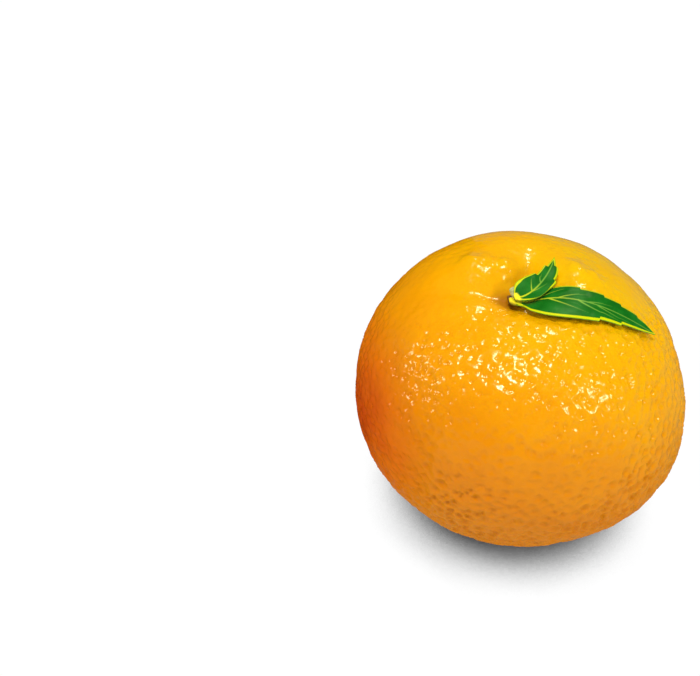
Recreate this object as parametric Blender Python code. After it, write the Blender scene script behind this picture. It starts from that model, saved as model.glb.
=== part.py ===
"""A mandarin orange as picked: the fruit, its calyx, a short cut stem and two leaves.

Metres, +Z up. The fruit stands on a small flat ring around its blossom end, which lies in
the plane Z = 0. Its stem end is up, and both leaves fold over from the stem towards +X.
"""

import collections
import math

import bmesh
import bpy
from mathutils import Matrix, Vector

MM = 0.001
TOUCH_GAP = 0.3 * MM

# The fruit's body: widest at WAIST_HEIGHT, squarer in profile than an ellipse, with its
# lowest point sunk below the plane that it stands on, which makes the flat spot.
FRUIT_RADIUS = 33.0 * MM
CROWN_RISE = 29.8 * MM
BASE_DROP = 29.75 * MM
ROUNDNESS = 2.15
FLAT_SPOT_SINK = 0.7 * MM
WAIST_HEIGHT = BASE_DROP - FLAT_SPOT_SINK
FRUIT_FACE_EDGES = 20

# Where the body is fuller or flatter: azimuth, elevation (degrees), height, spread.
SWELLINGS = (
    (-24.0, -24.0, 1.9 * MM, 0.16),
    (-10.0, 34.0, -1.2 * MM, 0.14),
    (105.0, 56.0, 0.5 * MM, 0.12),
    (178.0, -8.0, 0.4 * MM, 0.2),
)

# The hollow around the stem: a wide dish, a steeper pit inside it, and folds in the skin
# that run outwards from the stem, each with an azimuth (degrees), a depth and a width.
STEM_X = -3.0 * MM
STEM_Y = -3.9 * MM
DISH_DEPTH = 3.0 * MM
DISH_REACH = 10.0 * MM
PIT_DEPTH = 1.9 * MM
PIT_REACH = 4.6 * MM
FOLD_REACH = 7.0 * MM
FOLDS = (
    (170.0, 0.9 * MM, 15.0),
    (112.0, 0.4 * MM, 18.0),
    (70.0, 1.5 * MM, 15.0),
    (28.0, 0.7 * MM, 14.0),
    (-38.0, 0.3 * MM, 18.0),
    (-100.0, 0.3 * MM, 20.0),
    (-146.0, 0.4 * MM, 16.0),
)

# Humps in the skin behind the hollow, each with its place, its height and how far it reaches.
HUMPS = (
    (-10.3 * MM, 5.3 * MM, 1.2 * MM, 3.0 * MM),
    (-4.5 * MM, 3.9 * MM, 1.0 * MM, 2.6 * MM),
    (8.8 * MM, 2.2 * MM, 1.2 * MM, 3.2 * MM),
)

# The scar at the blossom end, a small dimple inside the flat ring.
SCAR_DEPTH = 0.9 * MM
SCAR_RADIUS = 3.6 * MM

# The calyx, a small button with five lobes, on the floor of the pit.
CALYX_RADIUS = 1.7 * MM
CALYX_LOBES = 5
CALYX_LOBE_DEPTH = 0.16
CALYX_THICKNESS = 0.6 * MM

# The stem, a stub that leans aside from the calyx to its cut end.
STEM_RADIUS = 0.75 * MM
STEM_FOOT_RADIUS = 0.95 * MM
STEM_LENGTH = 1.95 * MM
STEM_LEAN = Vector((-0.57, 0.29, 1.0))
STEM_SIDES = 16

# A leaf, laid over the crown. Places are in millimetres along the crown's skin from its top,
# towards +X and towards +Y. midrib has the four control points of a curve, each a place and a
# height over the skin. left and right give the half width of each side of the blade, in
# millimetres, at shares of the midrib's length from its foot, and the left side is the one
# towards +Y. A tooth of the edge ends at each of the shares in left_teeth and right_teeth.
# tilt is how steeply the left side rises above the right one, and foot is how thick the
# petiole is at its foot, in millimetres.
Leaf = collections.namedtuple("Leaf", "midrib left right left_teeth right_teeth tilt foot")

LARGE_LEAF = Leaf(
    midrib=((-4.4, -5.7, 1.2), (3.5, -5.8, 1.3), (13.0, -10.3, 0.8), (24.1, -9.2, 1.1)),
    left=(
        (0.0, 0.5), (0.04, 0.9), (0.1, 1.0), (0.24, 2.3), (0.4, 3.3),
        (0.6, 3.3), (0.8, 2.5), (0.92, 1.5), (1.0, 0.2),
    ),
    right=(
        (0.0, 0.5), (0.04, 0.9), (0.1, 1.7), (0.16, 3.6), (0.3, 4.8),
        (0.5, 4.3), (0.7, 2.8), (0.88, 1.4), (1.0, 0.2),
    ),
    left_teeth=(0.46, 0.62, 0.74, 0.86),
    right_teeth=(0.6, 0.74),
    tilt=0.0,
    foot=1.3,
)
SMALL_LEAF = Leaf(
    midrib=((-3.5, -6.0, 3.05), (0.2, -5.5, 3.4), (3.0, -2.0, 3.0), (4.3, 2.8, 1.9)),
    left=((0.0, 0.4), (0.06, 2.0), (0.14, 2.7), (0.28, 2.85), (0.42, 2.6), (0.6, 1.7), (0.8, 1.0), (1.0, 0.2)),
    right=((0.0, 0.4), (0.12, 1.0), (0.28, 1.8), (0.45, 2.0), (0.6, 2.2), (0.76, 1.7), (1.0, 0.2)),
    left_teeth=(0.55, 0.76),
    right_teeth=(0.62, 0.84),
    tilt=0.45,
    foot=0.7,
)

# The parts of a leaf that both share. A tooth steps in by TOOTH_DEPTH over TOOTH_STEP of the
# leaf's length, and the petiole has thinned to the blade at PETIOLE_END. The midrib's heading
# at a place is taken from two points HEADING_STEP before and after it.
TOOTH_DEPTH = 0.45 * MM
TOOTH_STEP = 0.012
BLADE_THICKNESS = 0.5 * MM
PETIOLE_END = 0.12
HEADING_STEP = 0.01
LEAF_STEPS = 18
LEAF_STEPS_ACROSS = 4


def direction_of(azimuth, elevation):
    """The unit vector at these angles, in degrees."""
    turn = math.radians(azimuth)
    climb = math.radians(elevation)
    outwards = Vector((math.cos(turn), math.sin(turn), 0.0)) * math.cos(climb)
    return outwards + Vector((0.0, 0.0, math.sin(climb)))


def body_point(direction):
    """The point of the plain rounded body in this direction from the middle of its waist."""
    across = math.hypot(direction.x, direction.y) / FRUIT_RADIUS
    upright = abs(direction.z) / (CROWN_RISE if direction.z > 0.0 else BASE_DROP)
    distance = (across**ROUNDNESS + upright**ROUNDNESS) ** (-1.0 / ROUNDNESS)
    for azimuth, elevation, height, spread in SWELLINGS:
        closeness = direction.dot(direction_of(azimuth, elevation)) - 1.0
        distance += height * math.exp(closeness / spread)
    return direction * distance + Vector((0.0, 0.0, WAIST_HEIGHT))


def hollow_depth(x, y):
    """How far the dish and the pit around the stem sink the skin at this place."""
    reach = math.hypot(x - STEM_X, y - STEM_Y)
    dish = DISH_DEPTH * math.exp(-((reach / DISH_REACH) ** 2))
    pit = PIT_DEPTH * math.exp(-((reach / PIT_REACH) ** 2))
    return dish + pit


def fold_depth(x, y):
    """How far the folds around the stem sink the skin further."""
    reach = math.hypot(x - STEM_X, y - STEM_Y) / FOLD_REACH
    bearing = math.atan2(y - STEM_Y, x - STEM_X)
    fade = (reach * math.exp(1.0 - reach)) ** 2
    depth = 0.0
    for azimuth, middle_depth, width in FOLDS:
        aside = math.remainder(bearing - math.radians(azimuth), math.tau) / math.radians(width)
        depth += middle_depth * fade * math.exp(-(aside**2))
    return depth


def hump_height(x, y):
    """How far the humps behind the hollow lift the skin at this place."""
    return sum(
        height * math.exp(-((x - middle_x) ** 2 + (y - middle_y) ** 2) / reach**2)
        for middle_x, middle_y, height, reach in HUMPS
    )


def scar_lift(x, y):
    """How far the blossom scar lifts the skin above the flat ring at this place."""
    inward = max(0.0, 1.0 - math.hypot(x, y) ** 2 / SCAR_RADIUS**2)
    return SCAR_DEPTH * inward**2


def skin_point(direction):
    """The point of the fruit's skin in this direction from the middle of its waist."""
    point = body_point(direction)
    if direction.z > 0.0:
        point.z -= hollow_depth(point.x, point.y) + fold_depth(point.x, point.y)
        point.z += hump_height(point.x, point.y)
    else:
        point.z = max(point.z, 0.0) + scar_lift(point.x, point.y)
    return point


def over_crown(east, north, lift):
    """The point this high over the smooth skin, at these distances along it from the crown's top."""
    distance = math.hypot(east, north)
    tilt = distance / CROWN_RISE
    outwards = Vector((east, north, 0.0)).normalized() * math.sin(tilt)
    direction = outwards + Vector((0.0, 0.0, math.cos(tilt)))
    point = body_point(direction)
    point.z -= hollow_depth(point.x, point.y)
    return point + direction * lift


def bezier(controls, t):
    """The point at this share of a cubic curve with four control points."""
    weights = ((1.0 - t) ** 3, 3.0 * t * (1.0 - t) ** 2, 3.0 * t**2 * (1.0 - t), t**3)
    point = Vector((0.0, 0.0, 0.0))
    for control, weight in zip(controls, weights):
        point += Vector(control) * weight
    return point


def smooth_run(points, t):
    """The value at t of a smooth curve through these pairs of place and value."""
    last = len(points) - 1
    first = max(index for index in range(last) if points[index][0] <= t)
    slopes = []
    for index in (first, first + 1):
        before = points[max(index - 1, 0)]
        after = points[min(index + 1, last)]
        slopes.append((after[1] - before[1]) / (after[0] - before[0]))
    (start, low), (end, high) = points[first], points[first + 1]
    span = end - start
    share = (t - start) / span
    bend = share * (1.0 - share) * span
    turn = bend * ((1.0 - share) * slopes[0] - share * slopes[1])
    return low + (high - low) * share**2 * (3.0 - 2.0 * share) + turn


def tooth_inset(t, ends):
    """How far the edge is drawn in at t, from nothing at a tooth's end to a full step past it."""
    passed = [end for end in ends if end < t]
    if not passed:
        return 0.0
    following = [end for end in ends if end >= t] + [1.0]
    share = (t - passed[-1]) / (following[0] - passed[-1])
    return TOOTH_DEPTH * (1.0 - share)


def leaf_stations(leaf):
    """The shares of a leaf's length at which its outline turns."""
    stations = {step / LEAF_STEPS for step in range(LEAF_STEPS + 1)}
    for end in (*leaf.left_teeth, *leaf.right_teeth):
        stations = {t for t in stations if abs(t - end) > TOOTH_STEP}
        stations |= {end, end + TOOTH_STEP}
    return sorted(stations)


def half_width(leaf, t, side):
    """How far the blade reaches from its midrib at t, on its left (1) or its right (-1)."""
    if side > 0.0:
        return smooth_run(leaf.left, t) * MM - tooth_inset(t, leaf.left_teeth)
    return smooth_run(leaf.right, t) * MM - tooth_inset(t, leaf.right_teeth)


def leaf_point(leaf, t, across):
    """The point on a leaf's underside: t along it, and from -1 at its right edge to 1 at its left."""
    middle = bezier(leaf.midrib, t)
    ahead = bezier(leaf.midrib, min(t + HEADING_STEP, 1.0))
    ahead -= bezier(leaf.midrib, max(t - HEADING_STEP, 0.0))
    ahead.z = 0.0
    ahead.normalize()
    aside = across * half_width(leaf, t, across)
    east = middle.x * MM - ahead.y * aside
    north = middle.y * MM + ahead.x * aside
    return over_crown(east, north, middle.z * MM + leaf.tilt * aside)


def material(name, color, roughness):
    """A plain material with this colour (linear RGB) and roughness."""
    made = bpy.data.materials.new(name)
    made.use_nodes = True
    shader = made.node_tree.nodes["Principled BSDF"]
    shader.inputs["Base Color"].default_value = (*color, 1.0)
    shader.inputs["Roughness"].default_value = roughness
    return made


def add_object(name, shape, surface):
    """A smooth-shaded object made of this bmesh."""
    bmesh.ops.recalc_face_normals(shape, faces=shape.faces)
    mesh = bpy.data.meshes.new(name)
    shape.to_mesh(mesh)
    shape.free()
    mesh.shade_smooth()
    mesh.materials.append(surface)
    bpy.context.scene.collection.objects.link(bpy.data.objects.new(name, mesh))


def add_fruit():
    """The whole fruit, one solid: an icosahedron whose faces are divided evenly and shaped."""
    fruit = bmesh.new()
    bmesh.ops.create_icosphere(fruit, subdivisions=1, radius=1.0)
    bmesh.ops.subdivide_edges(fruit, edges=fruit.edges, cuts=FRUIT_FACE_EDGES - 1, use_grid_fill=True)
    for vertex in fruit.verts:
        vertex.co = skin_point(vertex.co.normalized())
    add_object("fruit", fruit, material("mandarin_peel", (0.85, 0.36, 0.01), 0.35))


def pit_floor():
    """The middle of the floor of the pit around the stem."""
    outwards = Vector((STEM_X, STEM_Y, CROWN_RISE)).normalized()
    height = body_point(outwards).z - hollow_depth(STEM_X, STEM_Y)
    return Vector((STEM_X, STEM_Y, height))


def add_calyx():
    """The calyx, a flattened ball drawn out into five lobes that turn up with the pit's floor."""
    calyx = bmesh.new()
    bmesh.ops.create_icosphere(calyx, subdivisions=4, radius=1.0)
    floor = pit_floor()
    for vertex in calyx.verts:
        bearing = math.atan2(vertex.co.y, vertex.co.x)
        lobe = 1.0 + CALYX_LOBE_DEPTH * math.cos(CALYX_LOBES * bearing)
        x = vertex.co.x * CALYX_RADIUS * lobe
        y = vertex.co.y * CALYX_RADIUS * lobe
        rise = hollow_depth(STEM_X, STEM_Y) - hollow_depth(STEM_X + x, STEM_Y + y)
        z = TOUCH_GAP + rise + CALYX_THICKNESS * (1.0 + vertex.co.z) / 2.0
        vertex.co = floor + Vector((x, y, z))
    add_object("calyx", calyx, material("dried_calyx", (0.10, 0.09, 0.02), 0.6))


def add_stem():
    """The stem, a short stub that leans back, wider at its foot, with a flat cut end."""
    stem = bmesh.new()
    bmesh.ops.create_cone(
        stem,
        cap_ends=True,
        segments=STEM_SIDES,
        radius1=STEM_FOOT_RADIUS,
        radius2=STEM_RADIUS,
        depth=STEM_LENGTH,
    )
    bmesh.ops.translate(stem, verts=stem.verts, vec=Vector((0.0, 0.0, STEM_LENGTH / 2.0)))
    lean = Vector((0.0, 0.0, 1.0)).rotation_difference(STEM_LEAN).to_matrix().to_4x4()
    foot_rise = STEM_FOOT_RADIUS * math.sin(STEM_LEAN.angle(Vector((0.0, 0.0, 1.0))))
    foot = pit_floor() + Vector((0.0, 0.0, 2.0 * TOUCH_GAP + CALYX_THICKNESS + foot_rise))
    bmesh.ops.transform(stem, matrix=Matrix.Translation(foot) @ lean, verts=stem.verts)
    add_object("stem", stem, material("green_twig", (0.45, 0.52, 0.30), 0.5))


def thickness_at(leaf, t):
    """A leaf's thickness at this share of its length: its petiole thins into the blade."""
    share = min(t / PETIOLE_END, 1.0)
    return leaf.foot * MM * (1.0 - share) + BLADE_THICKNESS * share


def add_leaf(name, leaf):
    """A leaf with its petiole: a flat grid laid over the crown, then raised to its thickness."""
    stations = leaf_stations(leaf)
    steps = len(stations) - 1
    blade = bmesh.new()
    thickness = blade.verts.layers.float.new("thickness")
    bmesh.ops.create_grid(blade, x_segments=steps, y_segments=LEAF_STEPS_ACROSS, size=1.0)
    for vertex in blade.verts:
        t = stations[round((vertex.co.x + 1.0) / 2.0 * steps)]
        vertex.co = leaf_point(leaf, t, vertex.co.y)
        vertex[thickness] = thickness_at(leaf, t)
    raised = bmesh.ops.extrude_face_region(blade, geom=blade.faces, use_keep_orig=True)["geom"]
    for vertex in [item for item in raised if isinstance(item, bmesh.types.BMVert)]:
        outwards = (vertex.co - Vector((0.0, 0.0, WAIST_HEIGHT))).normalized()
        vertex.co += outwards * vertex[thickness]
    add_object(name, blade, material("citrus_leaf", (0.02, 0.20, 0.03), 0.45))


def main():
    for old in list(bpy.data.objects):
        bpy.data.objects.remove(old)
    add_fruit()
    add_calyx()
    add_stem()
    add_leaf("large_leaf", LARGE_LEAF)
    add_leaf("small_leaf", SMALL_LEAF)


main()
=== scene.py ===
"""A mandarin orange as picked, standing on a white table in soft studio light."""

import math

import bmesh
import bpy
import numpy as np
from mathutils import Matrix, Vector, noise
from mathutils.kdtree import KDTree


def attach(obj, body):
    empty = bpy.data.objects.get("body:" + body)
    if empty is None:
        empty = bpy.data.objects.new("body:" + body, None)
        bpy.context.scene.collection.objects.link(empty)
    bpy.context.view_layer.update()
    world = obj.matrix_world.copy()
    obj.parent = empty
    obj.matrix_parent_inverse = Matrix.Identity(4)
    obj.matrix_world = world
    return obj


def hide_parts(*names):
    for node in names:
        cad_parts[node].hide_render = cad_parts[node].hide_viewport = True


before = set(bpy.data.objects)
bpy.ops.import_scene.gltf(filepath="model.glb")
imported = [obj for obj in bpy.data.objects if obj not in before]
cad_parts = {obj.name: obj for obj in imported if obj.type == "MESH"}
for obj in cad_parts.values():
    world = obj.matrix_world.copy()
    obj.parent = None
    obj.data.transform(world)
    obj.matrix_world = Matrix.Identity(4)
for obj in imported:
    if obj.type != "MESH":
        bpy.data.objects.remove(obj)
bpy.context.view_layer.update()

# The fruit
# One grown piece, so one mesh: the CAD solid's shape, rounded, then dimpled by the oil glands
# that lie in the outer skin. Its stem end is up, and it stands on its blossom end.
MM = 0.001
WELD = 0.002 * MM
WAIST_CENTRE = Vector((0.0, 0.0, 29.05 * MM))
STEM_AT = Vector((-3.0 * MM, -3.9 * MM))

# Oil glands are round pits of mixed size, each strayed from an even pattern by a share of the
# spacing, with a low ridge halfway between neighbours. Whole patches are deeper or shallower.
GLAND_SPACING = 2.1 * MM
GLAND_DISORDER = 0.3
GLAND_RADII = (0.65 * MM, 1.25 * MM)
GLAND_DEPTHS = (0.08 * MM, 0.4 * MM)
RIDGE_HEIGHT = 0.17 * MM
RIDGE_WIDTH = 0.6 * MM
PATCH_LENGTH = 14.0 * MM
PATCH_MIDDLE = 0.9
PATCH_SWING = 0.7

# The skin also rises and falls gently, in small pebbles and in wider swells. The offsets,
# times a seed, give each of these patterns its own part of the noise.
PEBBLE_LENGTH = 2.6 * MM
PEBBLE_HEIGHT = 0.15 * MM
SWELL_LENGTH = 6.5 * MM
SWELL_HEIGHT = 0.25 * MM
WAVE_OFFSETS = (7.31, 3.17, 5.53)

# Over the crown and behind it the skin is taut, which flattens these shares of its relief.
TAUT_TOWARDS = np.array((0.0, 0.6, 0.8))
TAUT_FROM = 35.0 * MM
TAUT_OVER = 6.0 * MM
TAUT_ABOVE = 42.0 * MM
TAUT_CLIMB = 9.0 * MM
TAUT_SHARE = 0.72
TAUT_SWELL_SHARE = 0.3

# Low down, and higher up towards +X, pits and ridges both grow, by up to this share.
FLANK_TOWARDS = np.array((0.5, 0.0, -1.0))
FLANK_FROM = -44.0 * MM
FLANK_OVER = 32.0 * MM
FLANK_SHARE = 1.1

# Small lumps on the humps behind the stem, each with its place, its height and how far it
# reaches. Their tops are knobbly.
LUMPS = (
    (-10.8 * MM, 4.8 * MM, 0.5 * MM, 2.6 * MM),
    (-7.6 * MM, 3.8 * MM, 0.4 * MM, 2.2 * MM),
    (-4.5 * MM, 3.4 * MM, 0.5 * MM, 2.0 * MM),
    (8.8 * MM, 1.6 * MM, 0.5 * MM, 2.6 * MM),
    (11.8 * MM, 0.4 * MM, 0.4 * MM, 2.2 * MM),
)
KNOB_LENGTH = 2.2 * MM
KNOB_HEIGHT = 0.45 * MM

# The brown mark around the stem is partly a real stain and partly painted shade of the stem's
# hollow, and it is drawn out towards -X. Height over SCAR_TOP counts as distance from the
# blossom scar, which keeps the scar's colour off the crown. The relief fades out below
# BASE_FADE, so that the fruit still stands on its flat ring.
STAIN_AND_SHADE_SHIFT = 1.6 * MM
STAIN_AND_SHADE_STRETCH = 1.4
SCAR_TOP = 2.0 * MM
BASE_FADE = 2.5 * MM


def merged_copy(node):
    """A bmesh of a CAD node, with the loose corners of its triangles joined."""
    shape = bmesh.new()
    shape.from_mesh(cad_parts[node].data)
    bmesh.ops.remove_doubles(shape, verts=shape.verts, dist=WELD)
    return shape


def piece_from(name, shape, levels=0):
    """A smooth-shaded object of this bmesh, subdivided this many times."""
    mesh = bpy.data.meshes.new(name)
    shape.to_mesh(mesh)
    shape.free()
    piece = bpy.data.objects.new(name, mesh)
    bpy.context.scene.collection.objects.link(piece)
    if levels:
        rounding = piece.modifiers.new("Rounding", "SUBSURF")
        rounding.levels = levels
        rounding.render_levels = levels
        graph = bpy.context.evaluated_depsgraph_get()
        piece.data = bpy.data.meshes.new_from_object(piece.evaluated_get(graph))
        piece.modifiers.clear()
    piece.data.materials.clear()
    piece.data.shade_smooth()
    return piece


def rows_of(collection, field):
    """A mesh's vectors of one kind, such as its vertices' places, one row each."""
    flat = np.empty(len(collection) * 3, np.float32)
    collection.foreach_get(field, flat)
    return flat.reshape(-1, 3).astype(float)


def store(mesh, name, values):
    """Keeps one number for each vertex, for a material to read."""
    mesh.attributes.new(name, "FLOAT", "POINT").data.foreach_set("value", values.astype(np.float32))


def waves(places, length, seed):
    """Smooth random heights from -1 to 1 at these places, about this far from crest to crest."""
    offset = Vector([seed * step for step in WAVE_OFFSETS])
    return np.array([noise.noise(Vector(place) / length + offset) for place in places])


def spread_glands(area, spacing, chance):
    """Directions of oil glands from the waist's centre: a golden spiral, each one moved a little."""
    gland_area = spacing**2 * math.sqrt(0.75)
    count = round(area / gland_area)
    order = np.arange(count)
    height = 1.0 - 2.0 * (order + 0.5) / count
    turn = order * math.pi * (3.0 - math.sqrt(5.0))
    reach = np.sqrt(1.0 - height**2)
    directions = np.stack([reach * np.cos(turn), reach * np.sin(turn), height], axis=1)
    return directions + chance.normal(size=directions.shape) * GLAND_DISORDER * spacing / WAIST_CENTRE.z


def nearest_glands(places, directions):
    """For each place: how far its nearest and next gland are, and the nearest one's number."""
    skin = KDTree(len(places))
    for index, place in enumerate(places):
        skin.insert((Vector(place) - WAIST_CENTRE).normalized(), index)
    skin.balance()
    centres = KDTree(len(directions))
    for index, direction in enumerate(directions):
        centres.insert(Vector(places[skin.find(Vector(direction).normalized())[1]]), index)
    centres.balance()
    found = [centres.find_n(Vector(place), 2) for place in places]
    first = np.array([pair[0][2] for pair in found])
    second = np.array([pair[1][2] for pair in found])
    return first, second, np.array([pair[0][1] for pair in found])


peel = piece_from("peel", merged_copy("fruit"), levels=2)
places = rows_of(peel.data.vertices, "co")
facing = rows_of(peel.data.vertex_normals, "vector")
skin_area = sum(face.area for face in peel.data.polygons)
chance = np.random.default_rng(3)
glands = spread_glands(skin_area, GLAND_SPACING, chance)
radii = chance.uniform(*GLAND_RADII, len(glands))
depths = chance.uniform(*GLAND_DEPTHS, len(glands))
first, second, nearest = nearest_glands(places, glands)
bowl = np.maximum(0.0, 1.0 - (first / radii[nearest]) ** 2) ** 2 * depths[nearest]
ridge = np.exp(-(((second - first) / RIDGE_WIDTH) ** 2)) * RIDGE_HEIGHT
patches = PATCH_MIDDLE + PATCH_SWING * waves(places, PATCH_LENGTH, seed=5)
# The brown mark round the stem, part stain and part painted shade, is measured from here.
stain_and_shade_across = (places[:, 0] - STEM_AT.x + STAIN_AND_SHADE_SHIFT) / STAIN_AND_SHADE_STRETCH
from_stem = np.hypot(stain_and_shade_across, places[:, 1] - STEM_AT.y)
taut = np.clip((places @ TAUT_TOWARDS - TAUT_FROM) / TAUT_OVER, 0.0, 1.0)
taut *= np.clip((places[:, 2] - TAUT_ABOVE) / TAUT_CLIMB, 0.0, 1.0)
flank = np.clip((places @ FLANK_TOWARDS - FLANK_FROM) / FLANK_OVER, 0.0, 1.0)
relief = (ridge - bowl) * patches * (1.0 + FLANK_SHARE * flank)
relief += PEBBLE_HEIGHT * waves(places, PEBBLE_LENGTH, seed=2)
relief *= 1.0 - TAUT_SHARE * taut
relief += SWELL_HEIGHT * waves(places, SWELL_LENGTH, seed=1) * (1.0 - TAUT_SWELL_SHARE * taut)
knobs = KNOB_HEIGHT * waves(places, KNOB_LENGTH, seed=6)
for x, y, height, reach in LUMPS:
    closeness = np.exp(-((places[:, 0] - x) ** 2 + (places[:, 1] - y) ** 2) / reach**2)
    relief += closeness * (height + knobs) * (places[:, 2] > WAIST_CENTRE.z)
relief *= np.clip(places[:, 2] / BASE_FADE, 0.0, 1.0)
places += facing * relief[:, None]
places[:, 2] = np.maximum(places[:, 2], 0.0)
from_scar = np.hypot(places[:, 0], places[:, 1]) + np.maximum(places[:, 2] - SCAR_TOP, 0.0)
peel.data.vertices.foreach_set("co", places.ravel())
peel.data.update()
store(peel.data, "gland", bowl / GLAND_DEPTHS[1] * flank)
store(peel.data, "taut", taut)
store(peel.data, "from_stem", from_stem)
store(peel.data, "from_scar", from_scar)
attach(peel, "root")
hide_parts("fruit")


def linear(hex_colour):
    """An sRGB hex colour as linear RGB, with full opacity."""
    channels = [int(hex_colour[start : start + 2], 16) / 255.0 for start in (0, 2, 4)]
    return [c / 12.92 if c <= 0.04045 else ((c + 0.055) / 1.055) ** 2.4 for c in channels] + [1.0]


def new_material(name):
    """A material, its node tree and its shader."""
    made = bpy.data.materials.new(name)
    made.use_nodes = True
    return made, made.node_tree, made.node_tree.nodes["Principled BSDF"]


def add_node(tree, kind, settings=None, **inputs):
    """A node with these settings, and its inputs linked or set. An input called _6 is number 6."""
    node = tree.nodes.new("ShaderNode" + kind)
    for name, value in (settings or {}).items():
        setattr(node, name, value)
    for name, value in inputs.items():
        key = int(name[1:]) if name[1:].isdigit() else name.replace("_", " ")
        socket = node.inputs[key]
        if isinstance(value, bpy.types.NodeSocket):
            tree.links.new(value, socket)
        else:
            socket.default_value = value
    return node


def ramp_colours(ramp, stops):
    """Gives a colour ramp these places and sRGB hex colours."""
    elements = ramp.color_ramp.elements
    while len(elements) < len(stops):
        elements.new(0.5)
    for element, (place, colour) in zip(elements, stops):
        element.position = place
        element.color = linear(colour)


# Mandarin peel: a skin with a natural wax, matt in itself with a clear gloss over it. It is
# yellow at the crown and orange low down. Its left flank is a deeper orange, partly the peel's
# own tone and mostly painted shade. The deepest glands are darker dots, the smallest ones and
# the grain are too fine for the mesh and are bumps.
PEEL_COLOURS = (
    (0.0, "da8200"),
    (0.15, "e08a00"),
    (0.32, "e59200"),
    (0.5, "eda000"),
    (0.7, "f1ac00"),
    (0.85, "f1b600"),
    (1.0, "f0bf00"),
)
PAINTED_SHADE_ORANGE = "dc5a00"
DEEPEST_PAINTED_SHADE = "bc3800"
GLAND_ORANGE = "d06400"
STEM_STAIN_AND_SHADE = "a9650f"
SCAR_BROWN = "7a4a12"

# How far a place lies along these directions, moved by the mottle, gives it its colour.
TOWARDS_YELLOW = (0.42, 0.14, 0.93)
YELLOW_FROM = 26.0 * MM
YELLOW_TO = 64.0 * MM
# Painted shade: along this direction the left flank turns a deeper orange, as if shaded.
TOWARDS_PAINTED_SHADE = (-0.97, -0.24, 0.0)
PAINTED_SHADE_FROM = 26.0 * MM
PAINTED_SHADE_TO = 38.0 * MM
DEEPEST_SHADE_FROM = 32.0 * MM
DEEPEST_SHADE_TO = 36.0 * MM
MOTTLE_LENGTH = 9.0 * MM
YELLOW_MOTTLE = 12.0 * MM
PAINTED_SHADE_MOTTLE = 4.0 * MM

# Where the dots, the stem's stain with its painted hollow shade, and the scar begin and end, and how strong
# each one is.
DOT_FROM = 0.4
DOT_STRENGTH = 0.2
STAIN_AND_SHADE_INNER = 0.6 * MM
STAIN_AND_SHADE_OUTER = 3.6 * MM
STAIN_AND_SHADE_STRENGTH = 0.8
SCAR_INNER = 0.8 * MM
SCAR_OUTER = 3.0 * MM
SCAR_STRENGTH = 0.9

SMALL_GLAND_SPACING = 1.15 * MM
SMALL_GLAND_REACH = 0.42
SMALL_GLAND_DEPTH = 0.08 * MM
TAUT_BUMPS = 0.4
GRAIN_SPACING = 0.3 * MM
GRAIN_DEPTH = 0.006 * MM

SMOOTHED = {"interpolation_type": "SMOOTHSTEP"}
COLOURS = {"data_type": "RGBA"}
ALONG = {"operation": "DOT_PRODUCT"}
TIMES = {"operation": "MULTIPLY"}
TIMES_PLUS = {"operation": "MULTIPLY_ADD"}

peel_material, tree, shader = new_material("waxed_mandarin_peel")
place = add_node(tree, "TexCoord").outputs["Object"]
stored = {
    name: add_node(tree, "Attribute", {"attribute_name": name}).outputs["Fac"]
    for name in ("gland", "taut", "from_stem", "from_scar")
}
mottle = add_node(tree, "TexNoise", Vector=place, Scale=1.0 / MOTTLE_LENGTH, Detail=3.0).outputs["Fac"]

yellowward = add_node(tree, "VectorMath", ALONG, _0=place, _1=TOWARDS_YELLOW).outputs["Value"]
mottled = add_node(tree, "Math", TIMES_PLUS, _0=mottle, _1=YELLOW_MOTTLE, _2=yellowward).outputs[0]
yellowness = add_node(tree, "MapRange", Value=mottled, From_Min=YELLOW_FROM, From_Max=YELLOW_TO).outputs[0]
yellow_to_orange = add_node(tree, "ValToRGB", Fac=yellowness)
ramp_colours(yellow_to_orange, PEEL_COLOURS)

# Painted shade: the left flank is darkened towards a deep orange.
shade = add_node(tree, "VectorMath", ALONG, _0=place, _1=TOWARDS_PAINTED_SHADE).outputs["Value"]
patchy = add_node(tree, "Math", TIMES_PLUS, _0=mottle, _1=PAINTED_SHADE_MOTTLE, _2=shade).outputs[0]
shaded = add_node(tree, "MapRange", SMOOTHED, Value=patchy, From_Min=PAINTED_SHADE_FROM, From_Max=PAINTED_SHADE_TO)
deepest = add_node(tree, "MapRange", SMOOTHED, Value=patchy, From_Min=DEEPEST_SHADE_FROM, From_Max=DEEPEST_SHADE_TO)
painted_shade_colour = add_node(
    tree, "Mix", COLOURS, Factor=deepest.outputs[0], _6=linear(PAINTED_SHADE_ORANGE), _7=linear(DEEPEST_PAINTED_SHADE)
)
ground = add_node(
    tree,
    "Mix",
    COLOURS,
    Factor=shaded.outputs[0],
    _6=yellow_to_orange.outputs["Color"],
    _7=painted_shade_colour.outputs[2],
)

dots = add_node(tree, "MapRange", Value=stored["gland"], From_Min=DOT_FROM, To_Max=DOT_STRENGTH)
dotted = add_node(tree, "Mix", COLOURS, Factor=dots.outputs[0], _6=ground.outputs[2], _7=linear(GLAND_ORANGE))
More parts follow.
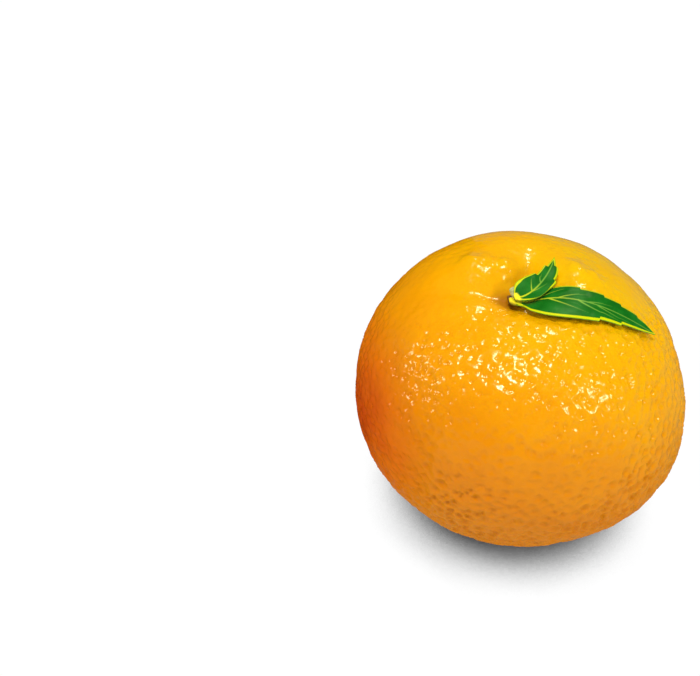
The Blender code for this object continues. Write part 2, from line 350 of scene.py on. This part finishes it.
# Painted shade and stain: the peel browns towards the stem, partly stain and partly its hollow's shade.
stain_and_shade = add_node(
    tree,
    "MapRange",
    SMOOTHED,
    Value=stored["from_stem"],
    From_Min=STAIN_AND_SHADE_INNER,
    From_Max=STAIN_AND_SHADE_OUTER,
    To_Min=STAIN_AND_SHADE_STRENGTH,
    To_Max=0.0,
)
stained_and_shaded = add_node(tree, "Mix", COLOURS, Factor=stain_and_shade.outputs[0], _6=dotted.outputs[2], _7=linear(STEM_STAIN_AND_SHADE))
scar = add_node(
    tree,
    "MapRange",
    SMOOTHED,
    Value=stored["from_scar"],
    From_Min=SCAR_INNER,
    From_Max=SCAR_OUTER,
    To_Min=SCAR_STRENGTH,
    To_Max=0.0,
)
scarred = add_node(tree, "Mix", COLOURS, Factor=scar.outputs[0], _6=stained_and_shaded.outputs[2], _7=linear(SCAR_BROWN))
tree.links.new(scarred.outputs[2], shader.inputs["Base Color"])

small_glands = add_node(tree, "TexVoronoi", Vector=place, Scale=1.0 / SMALL_GLAND_SPACING)
small_bowls = add_node(
    tree,
    "MapRange",
    Value=small_glands.outputs["Distance"],
    From_Max=SMALL_GLAND_REACH,
    To_Min=1.0,
    To_Max=0.0,
)
slack = add_node(tree, "MapRange", Value=stored["taut"], To_Min=1.0, To_Max=TAUT_BUMPS)
small_pits = add_node(tree, "Math", TIMES, _0=small_bowls.outputs[0], _1=slack.outputs[0])
small_bumps = add_node(
    tree, "Bump", {"invert": True}, Strength=1.0, Distance=SMALL_GLAND_DEPTH, Height=small_pits.outputs[0]
)
grain = add_node(tree, "TexNoise", Vector=place, Scale=1.0 / GRAIN_SPACING, Detail=2.0).outputs["Fac"]
fine_bumps = add_node(
    tree, "Bump", Strength=1.0, Distance=GRAIN_DEPTH, Height=grain, Normal=small_bumps.outputs[0]
)
tree.links.new(fine_bumps.outputs[0], shader.inputs["Normal"])
tree.links.new(fine_bumps.outputs[0], shader.inputs["Coat Normal"])
shader.inputs["Roughness"].default_value = 0.6
shader.inputs["Specular IOR Level"].default_value = 0.0
shader.inputs["Coat Weight"].default_value = 0.9
shader.inputs["Coat Roughness"].default_value = 0.18
shader.inputs["Coat IOR"].default_value = 1.5
shader.inputs["Subsurface Weight"].default_value = 0.1
shader.inputs["Subsurface Radius"].default_value = (1.0, 0.35, 0.08)
shader.inputs["Subsurface Scale"].default_value = 1.0 * MM
peel.data.materials.append(peel_material)

# The calyx
# The dried button of five sepals that the stem grows out of. It sits on the floor of the pit,
# and its surface has shrunk into creases.
CREASE_LENGTH = 0.7 * MM
CREASE_DEPTH = 0.12 * MM
SEPAL_GRAIN_DEPTH = 0.06 * MM
calyx = piece_from("calyx_button", merged_copy("calyx"), levels=1)
places = rows_of(calyx.data.vertices, "co")
facing = rows_of(calyx.data.vertex_normals, "vector")
places += facing * (CREASE_DEPTH * waves(places, CREASE_LENGTH, seed=8))[:, None]
calyx.data.vertices.foreach_set("co", places.ravel())
calyx.data.update()
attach(calyx, "root")
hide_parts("calyx")

# Dried sepal: matt brown, darker in its creases. These dark tones are partly painted shade, standing in for
# the shade of the pit it sits in.
calyx_material, tree, shader = new_material("dried_sepal")
place = add_node(tree, "TexCoord").outputs["Object"]
creases = add_node(tree, "TexNoise", Vector=place, Scale=1.0 / CREASE_LENGTH, Detail=4.0).outputs["Fac"]
sepal_colour_and_shade = add_node(tree, "ValToRGB", Fac=creases)
ramp_colours(sepal_colour_and_shade, ((0.35, "46230a"), (0.5, "6e3f12"), (0.68, "8f6a26")))
tree.links.new(sepal_colour_and_shade.outputs["Color"], shader.inputs["Base Color"])
bumps = add_node(tree, "Bump", Strength=1.0, Distance=SEPAL_GRAIN_DEPTH, Height=creases)
tree.links.new(bumps.outputs[0], shader.inputs["Normal"])
shader.inputs["Roughness"].default_value = 0.7
calyx.data.materials.append(calyx_material)

# The stem
# A stub of green twig, snipped off just above the calyx. It is a little wider at its foot,
# and its cut end is flat with a slightly rounded edge.
STEM_EDGE = 0.18 * MM
STEM_EDGE_ANGLE = math.radians(50.0)
STREAK_LENGTH = 0.8 * MM
STREAK_DEPTH = 0.05 * MM
stem_shape = merged_copy("stem")
end_edges = [edge for edge in stem_shape.edges if edge.calc_face_angle() > STEM_EDGE_ANGLE]
bmesh.ops.bevel(
    stem_shape, geom=end_edges, affect="EDGES", offset=STEM_EDGE, segments=2, profile=0.5, material=-1
)
stem = piece_from("stem_stub", stem_shape, levels=3)
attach(stem, "root")
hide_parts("stem")

# Green twig: pale grey-green bark with lighter streaks, satin.
stem_material, tree, shader = new_material("green_twig_bark")
place = add_node(tree, "TexCoord").outputs["Object"]
streaks = add_node(tree, "TexNoise", Vector=place, Scale=1.0 / STREAK_LENGTH, Detail=4.0).outputs["Fac"]
bark_colour = add_node(tree, "ValToRGB", Fac=streaks)
ramp_colours(bark_colour, ((0.3, "93a36e"), (0.5, "bccb98"), (0.7, "dfe6cc")))
tree.links.new(bark_colour.outputs["Color"], shader.inputs["Base Color"])
bumps = add_node(tree, "Bump", Strength=1.0, Distance=STREAK_DEPTH, Height=streaks)
tree.links.new(bumps.outputs[0], shader.inputs["Normal"])
shader.inputs["Roughness"].default_value = 0.5
stem.data.materials.append(stem_material)

# The leaves
# Two leathery blades, each with a short petiole grown onto the side of the stem. They lie
# over the crown, toothed at their edges, and their veins are sunk into the upper side.
# Leaf sizes are in millimetres, along the smooth skin from the crown's top, as in the CAD.
CROWN_RADIUS = 33.0 * MM
CROWN_RISE = 29.8 * MM
CROWN_ROUNDNESS = 2.15
CROWN_SWELLINGS = (
    (-24.0, -24.0, 1.9 * MM, 0.16),
    (-10.0, 34.0, -1.2 * MM, 0.14),
    (105.0, 56.0, 0.5 * MM, 0.12),
    (178.0, -8.0, 0.4 * MM, 0.2),
)
HOLLOWS = ((3.0 * MM, 10.0 * MM), (1.9 * MM, 4.6 * MM))

# midrib: four control points, each a place and a height over the skin. left and right: the
# half widths of the blade at shares of its length, on the sides that are left and right from
# above, looking from the petiole to the tip. teeth: the shares at which a tooth ends. tilt:
# how steeply the left side rises. foot: how thick the petiole is. length: along the midrib.
# bands: how wide the yellow margin is. veins: the shares where each one starts and ends, its
# side (1 is left), what share of the half width it reaches, and its half width at the midrib.
LARGE_LEAF = {
    "name": "large_blade",
    "node": "large_leaf",
    "midrib": ((-4.4, -5.5, 1.5), (3.5, -5.8, 1.3), (13.0, -10.3, 0.8), (24.1, -9.2, 1.1)),
    "left": (
        (0.0, 0.5), (0.04, 0.9), (0.1, 1.0), (0.24, 2.3), (0.4, 3.3),
        (0.6, 3.3), (0.8, 2.5), (0.92, 1.5), (1.0, 0.05),
    ),
    "right": (
        (0.0, 0.5), (0.04, 0.9), (0.1, 1.7), (0.16, 3.6), (0.3, 4.8),
        (0.5, 4.3), (0.7, 2.8), (0.88, 1.4), (1.0, 0.05),
    ),
    "left_teeth": (0.46, 0.62, 0.74, 0.86),
    "right_teeth": (0.6, 0.74),
    "tilt": 0.0,
    "foot": 1.5,
    "length": 29.0,
    "left_band": ((0.0, 0.1), (0.3, 0.2), (0.5, 0.26), (1.0, 0.2)),
    "right_band": ((0.0, 0.5), (0.1, 0.6), (0.4, 0.55), (0.62, 0.6), (1.0, 0.25)),
    "veins": (
        (0.27, 0.54, -1.0, 0.62, 0.17),
        (0.46, 0.74, -1.0, 0.68, 0.18),
        (0.12, 0.36, 1.0, 0.75, 0.14),
        (0.33, 0.5, 1.0, 0.55, 0.14),
        (0.52, 0.68, 1.0, 0.38, 0.12),
        (0.58, 0.8, -1.0, 0.55, 0.12),
    ),
}
SMALL_LEAF = {
    "name": "small_blade",
    "node": "small_leaf",
    "midrib": ((-3.5, -6.0, 3.05), (0.2, -5.5, 3.4), (3.0, -2.0, 3.0), (4.3, 2.8, 1.9)),
    "left": (
        (0.0, 0.4), (0.06, 2.0), (0.14, 2.7), (0.28, 2.85), (0.42, 2.6), (0.6, 1.7), (0.8, 1.0), (1.0, 0.05)
    ),
    "right": ((0.0, 0.4), (0.12, 1.0), (0.28, 1.8), (0.45, 2.0), (0.6, 2.2), (0.76, 1.7), (1.0, 0.05)),
    "left_teeth": (0.55, 0.76),
    "right_teeth": (0.62, 0.84),
    "tilt": 0.45,
    "foot": 0.8,
    "length": 13.5,
    "left_band": ((0.0, 0.5), (0.2, 0.5), (0.35, 0.26), (1.0, 0.2)),
    "right_band": ((0.0, 0.4), (0.14, 0.35), (0.3, 0.05), (0.44, 0.08), (0.54, 0.3), (1.0, 0.3)),
    "veins": (
        (0.3, 0.45, 1.0, 0.7, 0.12),
        (0.48, 0.6, 1.0, 0.62, 0.1),
        (0.3, 0.52, -1.0, 0.45, 0.08),
    ),
}

# The grid of a leaf has this many steps along it and across it. Each tooth adds two rows,
# where it ends and where the notch after it is reached, and a row too near its end goes.
# The midrib's heading is taken between points this share of its length before and after.
LEAF_STEPS = 230
LEAF_STEPS_ACROSS = 64
TOOTH_DEPTH = 0.45
TOOTH_STEP = 0.012
TOOTH_CLEARANCE = TOOTH_STEP / 4.0
HEADING_STEP = 0.01

# The blade's thickness grows inwards from its edge. The midrib narrows by this share of its
# width towards the tip, and its line stops at the last step, short of the tip. A side vein
# moves outwards by this power of its course, so it is steep first and then bends forwards.
BLADE_EDGE = 0.2
BLADE_MIDDLE = 0.42
EDGE_ROUNDING = 0.35
MIDRIB_WIDTH = 0.17
MIDRIB_TAPER = 0.6
MIDRIB_STEPS = 60
MIDRIB_LAST_STEP = 57
VEIN_BEND = 0.8
VEIN_STEPS = 12
VEIN_SINK = 0.12
VEIN_SHOULDER = 0.7

# The petiole thins into the blade at PETIOLE_END of the length, and its foot is rounded off.
PETIOLE_END = 0.12
PETIOLE_WIDTH = 1.1
PETIOLE_FULLNESS = 0.7
FOOT_ROUNDING = 0.03
FOOT_THINNEST = 0.15


def over_crown(east, north, lift):
    """The point this high over the smooth skin, at these distances along it from the crown's top."""
    distance = math.hypot(east, north)
    tilt = distance / CROWN_RISE
    outwards = Vector((east, north, 0.0)).normalized() * math.sin(tilt)
    direction = outwards + Vector((0.0, 0.0, math.cos(tilt)))
    across = math.sin(tilt) / CROWN_RADIUS
    upright = math.cos(tilt) / CROWN_RISE
    reach = (across**CROWN_ROUNDNESS + upright**CROWN_ROUNDNESS) ** (-1.0 / CROWN_ROUNDNESS)
    for azimuth, elevation, height, spread in CROWN_SWELLINGS:
        turn = math.radians(azimuth)
        climb = math.radians(elevation)
        level = math.cos(climb)
        towards = Vector((math.cos(turn) * level, math.sin(turn) * level, math.sin(climb)))
        reach += height * math.exp((direction.dot(towards) - 1.0) / spread)
    point = direction * reach + WAIST_CENTRE
    from_stem = (point.xy - STEM_AT).length
    for depth, width in HOLLOWS:
        point.z -= depth * math.exp(-((from_stem / width) ** 2))
    return point + direction * lift


def bezier(controls, t):
    """The point at this share of a cubic curve with four control points."""
    weights = ((1.0 - t) ** 3, 3.0 * t * (1.0 - t) ** 2, 3.0 * t**2 * (1.0 - t), t**3)
    point = Vector((0.0, 0.0, 0.0))
    for control, weight in zip(controls, weights):
        point += Vector(control) * weight
    return point


def smooth_run(points, t):
    """The value at t of a smooth curve through these pairs of place and value."""
    last = len(points) - 1
    first = max(index for index in range(last) if points[index][0] <= t)
    slopes = []
    for index in (first, first + 1):
        before = points[max(index - 1, 0)]
        after = points[min(index + 1, last)]
        slopes.append((after[1] - before[1]) / (after[0] - before[0]))
    (start, low), (end, high) = points[first], points[first + 1]
    span = end - start
    share = (t - start) / span
    bend = share * (1.0 - share) * span
    turn = bend * ((1.0 - share) * slopes[0] - share * slopes[1])
    return low + (high - low) * share**2 * (3.0 - 2.0 * share) + turn


def half_width(leaf, t, side):
    """How far the blade reaches from its midrib at t, on its left (1) or its right (-1)."""
    edge, teeth = ("left", "left_teeth") if side > 0.0 else ("right", "right_teeth")
    width = smooth_run(leaf[edge], t)
    passed = [end for end in leaf[teeth] if end < t]
    if passed:
        following = [end for end in leaf[teeth] if end >= t] + [1.0]
        width -= TOOTH_DEPTH * (1.0 - (t - passed[-1]) / (following[0] - passed[-1]))
    return width


def leaf_lines(leaf):
    """The midrib and veins of a leaf, as points: how far along it, how far aside, half width."""
    midrib = []
    for step in range(MIDRIB_LAST_STEP + 1):
        share = step / MIDRIB_STEPS
        midrib.append((leaf["length"] * share, 0.0, MIDRIB_WIDTH * (1.0 - MIDRIB_TAPER * share)))
    lines = [midrib]
    for start, end, side, reach, width in leaf["veins"]:
        line = []
        for step in range(VEIN_STEPS + 1):
            share = step / VEIN_STEPS
            t = start + (end - start) * share
            aside = side * reach * share**VEIN_BEND * half_width(leaf, t, side)
            line.append((t * leaf["length"], aside, width * (1.0 - share)))
        lines.append(line)
    return [np.array(line) for line in lines]


def gap_to(lines, spots):
    """How far each spot lies outside the nearest of the lines, counted from that line's edge."""
    nearest = np.full(len(spots), np.inf)
    for line in lines:
        for start, end in zip(line[:-1], line[1:]):
            along = (end - start)[:2]
            share = np.clip((spots - start[:2]) @ along / (along @ along), 0.0, 1.0)
            gap = spots - start[:2] - share[:, None] * along
            width = start[2] + share * (end[2] - start[2])
            nearest = np.minimum(nearest, np.hypot(gap[:, 0], gap[:, 1]) - width)
    return nearest


def flat_blade(leaf):
    """A flat grid for a leaf, with layers that keep where on the leaf each vertex belongs."""
    stations = {step / LEAF_STEPS for step in range(LEAF_STEPS + 1)}
    for end in (*leaf["left_teeth"], *leaf["right_teeth"]):
        stations = {t for t in stations if abs(t - end) > TOOTH_CLEARANCE}
        stations |= {end, end + TOOTH_STEP}
    stations = sorted(stations)
    steps = len(stations) - 1
    shape = bmesh.new()
    kept = ("along", "aside", "edge", "margin", "vein", "upper", "petiole")
    layers = {name: shape.verts.layers.float.new(name) for name in kept}
    bmesh.ops.create_grid(shape, x_segments=steps, y_segments=LEAF_STEPS_ACROSS, size=1.0)
    spots = []
    for vertex in shape.verts:
        t = stations[round((vertex.co.x + 1.0) / 2.0 * steps)]
        width = half_width(leaf, t, vertex.co.y)
        edge = (1.0 - abs(vertex.co.y)) * width
        band = leaf["left_band"] if vertex.co.y > 0.0 else leaf["right_band"]
        vertex[layers["along"]] = t
        vertex[layers["aside"]] = vertex.co.y * width
        vertex[layers["edge"]] = edge
        vertex[layers["margin"]] = edge - smooth_run(band, t)
        spots.append((t * leaf["length"], vertex.co.y * width))
    for vertex, gap in zip(shape.verts, gap_to(leaf_lines(leaf), np.array(spots))):
        vertex[layers["vein"]] = gap
    return shape, layers


def laid_point(leaf, t, aside, lift):
    """The point at t along a leaf, this far aside of its midrib and this high over it."""
    middle = bezier(leaf["midrib"], t)
    ahead = bezier(leaf["midrib"], min(t + HEADING_STEP, 1.0))
    ahead -= bezier(leaf["midrib"], max(t - HEADING_STEP, 0.0))
    ahead.z = 0.0
    ahead.normalize()
    east = middle.x - ahead.y * aside
    north = middle.y + ahead.x * aside
    return over_crown(east * MM, north * MM, (middle.z + lift) * MM)


def blade_of(leaf):
    """A leaf with its petiole: a grid given an upper side, then laid over the crown."""
    shape, layers = flat_blade(leaf)
    raised = bmesh.ops.extrude_face_region(shape, geom=shape.faces, use_keep_orig=True)["geom"]
    for vertex in [item for item in raised if isinstance(item, bmesh.types.BMVert)]:
        vertex[layers["upper"]] = 1.0
    for vertex in shape.verts:
        t = vertex[layers["along"]]
        aside = vertex[layers["aside"]]
        inward = 1.0 - math.exp(-vertex[layers["edge"]] / EDGE_ROUNDING)
        roundness = math.sqrt(max(0.0, 1.0 - (aside / PETIOLE_WIDTH) ** 2))
        petiole = max(0.0, 1.0 - t / PETIOLE_END) * roundness
        vertex[layers["petiole"]] = petiole
        foot_end = max(math.sqrt(1.0 - max(0.0, 1.0 - t / FOOT_ROUNDING) ** 2), FOOT_THINNEST)
        thick = BLADE_EDGE + (BLADE_MIDDLE - BLADE_EDGE) * inward
        thick = (thick + (leaf["foot"] - thick) * petiole**PETIOLE_FULLNESS) * foot_end
        shoulder = math.exp(-((max(vertex[layers["vein"]], 0.0) / VEIN_SHOULDER) ** 2))
        lift = leaf["tilt"] * aside + 0.5 * (BLADE_MIDDLE + (leaf["foot"] - BLADE_MIDDLE) * petiole)
        lift += thick * (vertex[layers["upper"]] - 0.5)
        lift -= VEIN_SINK * shoulder * inward * (1.0 - petiole)
        vertex.co = laid_point(leaf, t, aside, lift)
    bmesh.ops.recalc_face_normals(shape, faces=shape.faces)
    return shape


# Leaf blade: a waxed, leathery green with yellow-green veins and margins, and a paler, duller
# underside. The veins lose their yellow along the leaf, and the petiole is a bright yellow. The
# upper side's green varies at random, and its lightest patches are painted sheen.
LEAF_GREENS_AND_SHEEN = ((0.3, "086312"), (0.5, "0e6f19"), (0.68, "1c7a26"), (0.8, "3c8440"))
UNDERSIDE_GREEN = "6f9a4e"
MARGIN_YELLOW = "d2e000"
OUTER_GREEN = "7fae10"
MIDRIB_YELLOW = "d3de10"
VEIN_GREEN = "6fac40"
PETIOLE_YELLOW = "fff32a"
GREEN_PATCH_LENGTH = 3.0 * MM
PORE_SPACING = 0.25 * MM
PORE_DEPTH = 0.01 * MM

# These two widths are in millimetres, as the blade's layers are. The fades are between two
# shares of the leaf's length, and between two values of its petiole layer.
LINE_BLUR = 0.06
OUTER_WIDTH = 0.16
VEIN_FADE = (0.1, 0.5)
PETIOLE_FADE = (0.15, 0.4)

leaf_material, tree, shader = new_material("variegated_citrus_leaf")
place = add_node(tree, "TexCoord").outputs["Object"]
stored = {
    name: add_node(tree, "Attribute", {"attribute_name": name}).outputs["Fac"]
    for name in ("along", "edge", "margin", "vein", "upper", "petiole")
}
# Painted sheen: the lightest green of these patches stands in for the wax's sheen.
patches = add_node(tree, "TexNoise", Vector=place, Scale=1.0 / GREEN_PATCH_LENGTH, Detail=5.0)
greens_and_sheen = add_node(tree, "ValToRGB", Fac=patches.outputs["Fac"])
ramp_colours(greens_and_sheen, LEAF_GREENS_AND_SHEEN)

across_line = {"From_Min": -LINE_BLUR, "From_Max": LINE_BLUR, "To_Min": 1.0, "To_Max": 0.0}
fading = add_node(tree, "MapRange", Value=stored["along"], From_Min=VEIN_FADE[0], From_Max=VEIN_FADE[1])
vein_colour = add_node(
    tree, "Mix", COLOURS, Factor=fading.outputs[0], _6=linear(MIDRIB_YELLOW), _7=linear(VEIN_GREEN)
)
on_vein = add_node(tree, "MapRange", Value=stored["vein"], **across_line)
veined = add_node(
    tree, "Mix", COLOURS, Factor=on_vein.outputs[0], _6=greens_and_sheen.outputs["Color"], _7=vein_colour.outputs[2]
)

at_edge = add_node(tree, "MapRange", Value=stored["edge"], From_Max=OUTER_WIDTH)
band_colour = add_node(
    tree, "Mix", COLOURS, Factor=at_edge.outputs[0], _6=linear(OUTER_GREEN), _7=linear(MARGIN_YELLOW)
)
on_margin = add_node(tree, "MapRange", Value=stored["margin"], **across_line)
edged = add_node(
    tree, "Mix", COLOURS, Factor=on_margin.outputs[0], _6=veined.outputs[2], _7=band_colour.outputs[2]
)

at_foot = add_node(
    tree, "MapRange", Value=stored["petiole"], From_Min=PETIOLE_FADE[0], From_Max=PETIOLE_FADE[1]
)
footed = add_node(
    tree, "Mix", COLOURS, Factor=at_foot.outputs[0], _6=edged.outputs[2], _7=linear(PETIOLE_YELLOW)
)
two_sided = add_node(
    tree, "Mix", COLOURS, Factor=stored["upper"], _6=linear(UNDERSIDE_GREEN), _7=footed.outputs[2]
)
tree.links.new(two_sided.outputs[2], shader.inputs["Base Color"])

pores = add_node(tree, "TexNoise", Vector=place, Scale=1.0 / PORE_SPACING, Detail=2.0).outputs["Fac"]
bumps = add_node(tree, "Bump", Strength=1.0, Distance=PORE_DEPTH, Height=pores)
tree.links.new(bumps.outputs[0], shader.inputs["Normal"])
shader.inputs["Roughness"].default_value = 0.4
shader.inputs["IOR"].default_value = 1.42
shader.inputs["Specular IOR Level"].default_value = 0.18

for leaf in (LARGE_LEAF, SMALL_LEAF):
    blade = piece_from(leaf["name"], blade_of(leaf))
    blade.data.materials.append(leaf_material)
    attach(blade, "root")
    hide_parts(leaf["node"])

# The table
# A plain white table that glows as evenly as paper on a light box. Under and around the
# fruit its glow is dimmed by how open its surroundings are: a painted soft contact shadow, not
# a cast one. Its glow goes from the first brightness to the second between these two shares of
# open surroundings.
TABLE_HALF_WIDTH = 3.0
SHADOW_REACH = 120.0 * MM
OPEN_SHARES = (0.2, 0.6)
GLOWS = (0.03, 1.02)


def strength_by_ray(tree, seen, mirrored, cast):
    """One brightness for what the camera sees, one for what a gloss mirrors, one for light cast."""
    ray = add_node(tree, "LightPath").outputs
    camera_ray = ray["Is Camera Ray"]
    glossy_ray = ray["Is Glossy Ray"]
    to_camera = add_node(tree, "Math", TIMES_PLUS, _0=camera_ray, _1=seen - cast, _2=cast).outputs[0]
    return add_node(tree, "Math", TIMES_PLUS, _0=glossy_ray, _1=mirrored - cast, _2=to_camera).outputs[0]


table_shape = bmesh.new()
bmesh.ops.create_grid(table_shape, x_segments=1, y_segments=1, size=TABLE_HALF_WIDTH)
table = piece_from("table", table_shape)
table_material, tree, shader = new_material("white_light_box")
# Painted shadow: the table's glow dims where the fruit hems it in.
openness = add_node(tree, "AmbientOcclusion", {"samples": 16}, Distance=SHADOW_REACH).outputs["AO"]
glow_and_painted_shadow = add_node(
    tree,
    "MapRange",
    SMOOTHED,
    Value=openness,
    From_Min=OPEN_SHARES[0],
    From_Max=OPEN_SHARES[1],
    To_Min=GLOWS[0],
    To_Max=GLOWS[1],
)
shader.inputs["Base Color"].default_value = (0.0, 0.0, 0.0, 1.0)
shader.inputs["Specular IOR Level"].default_value = 0.0
tree.links.new(glow_and_painted_shadow.outputs[0], shader.inputs["Emission Color"])
tree.links.new(strength_by_ray(tree, seen=1.0, mirrored=0.15, cast=1.25), shader.inputs["Emission Strength"])
table.data.materials.append(table_material)

# The lights
# Square, warm softboxes at one distance: the key over the near side of the crown, a lower one
# on each side, one behind, and a large, weak fill in front that the gloss doesn't mirror.
SOFTBOX_DISTANCE = 0.9

# Linear RGB, and then each softbox's direction from the fruit, width in metres and radiance.
WARM_WHITE = (1.0, 0.9, 0.62)
SOFTBOXES = (
    ("key", (-0.14, -0.26, 0.955), 0.16, 59.0),
    ("left", (-0.9, -0.05, 0.43), 0.17, 21.0),
    ("side", (0.65, -0.5, 0.57), 0.13, 38.0),
    ("back", (0.25, 0.55, 0.8), 0.14, 35.0),
    ("fill", (0.2, -0.95, 0.3), 0.5, 1.15),
)
for name, towards, width, radiance in SOFTBOXES:
    lamp = bpy.data.lights.new(name, "AREA")
    lamp.size = width
    lamp.energy = radiance * math.pi * width**2
    lamp.color = WARM_WHITE
    softbox = bpy.data.objects.new(name, lamp)
    direction = Vector(towards).normalized()
    turn = direction.to_track_quat("Z", "Y").to_matrix().to_4x4()
    softbox.matrix_world = Matrix.Translation(WAIST_CENTRE + direction * SOFTBOX_DISTANCE) @ turn
    softbox.visible_glossy = name != "fill"
    bpy.context.scene.collection.objects.link(softbox)

# A curved black card stands round the fruit's left, from behind it to its front left, where
# only the gloss sees it. It keeps that edge of the fruit from mirroring the white table, so
# the edge stays a deep orange. The card is highest at the back and lower at the side.
CARD_DISTANCE = 38.0 * MM
CARD_BACK_HEIGHT = 90.0 * MM
CARD_SIDE_HEIGHT = 45.0 * MM
CARD_START = math.radians(105.0)
CARD_SWEEP = math.radians(125.0)
CARD_STEPS = 36
card_shape = bmesh.new()
card_corner = (CARD_DISTANCE * math.cos(CARD_START), CARD_DISTANCE * math.sin(CARD_START), 0.0)
start = card_shape.verts.new(card_corner)
bmesh.ops.spin(card_shape, geom=[start], axis=(0.0, 0.0, 1.0), angle=CARD_SWEEP, steps=CARD_STEPS)
raised = bmesh.ops.extrude_edge_only(card_shape, edges=card_shape.edges)["geom"]
for corner in [item for item in raised if isinstance(item, bmesh.types.BMVert)]:
    backward = max(0.0, corner.co.y / CARD_DISTANCE)
    corner.co.z = CARD_SIDE_HEIGHT + (CARD_BACK_HEIGHT - CARD_SIDE_HEIGHT) * backward
card = piece_from("card", card_shape)
card_material, tree, shader = new_material("black_card")
shader.inputs["Base Color"].default_value = (0.0, 0.0, 0.0, 1.0)
shader.inputs["Specular IOR Level"].default_value = 0.0
card.data.materials.append(card_material)
card.visible_camera = False
card.visible_diffuse = False
card.visible_shadow = False

world = bpy.data.worlds.new("studio")
world.use_nodes = True
sky = world.node_tree.nodes["Background"]
sky.inputs["Color"].default_value = (1.0, 1.0, 1.0, 1.0)
sky_strength = strength_by_ray(world.node_tree, seen=1.0, mirrored=0.06, cast=0.2)
world.node_tree.links.new(sky_strength, sky.inputs["Strength"])
bpy.context.scene.world = world

# The camera
# It stands on the near side, a little to the left, and looks down at the fruit. Its place,
# lens and pitch were fitted to the outline of the fruit.
CAMERA_PLACE = Vector((-34.73, -176.63, 190.14)) * MM
CAMERA_PITCH = math.radians(40.0)
camera = bpy.data.objects.new("camera", bpy.data.cameras.new("camera"))
camera.data.lens = 59.14
camera.data.sensor_width = 36.0
camera.data.clip_start = 10.0 * MM
camera.location = CAMERA_PLACE
camera.rotation_euler = (math.pi / 2.0 - CAMERA_PITCH, 0.0, 0.0)
bpy.context.scene.collection.objects.link(camera)
bpy.context.scene.camera = camera
bpy.context.scene.view_settings.view_transform = "Standard"
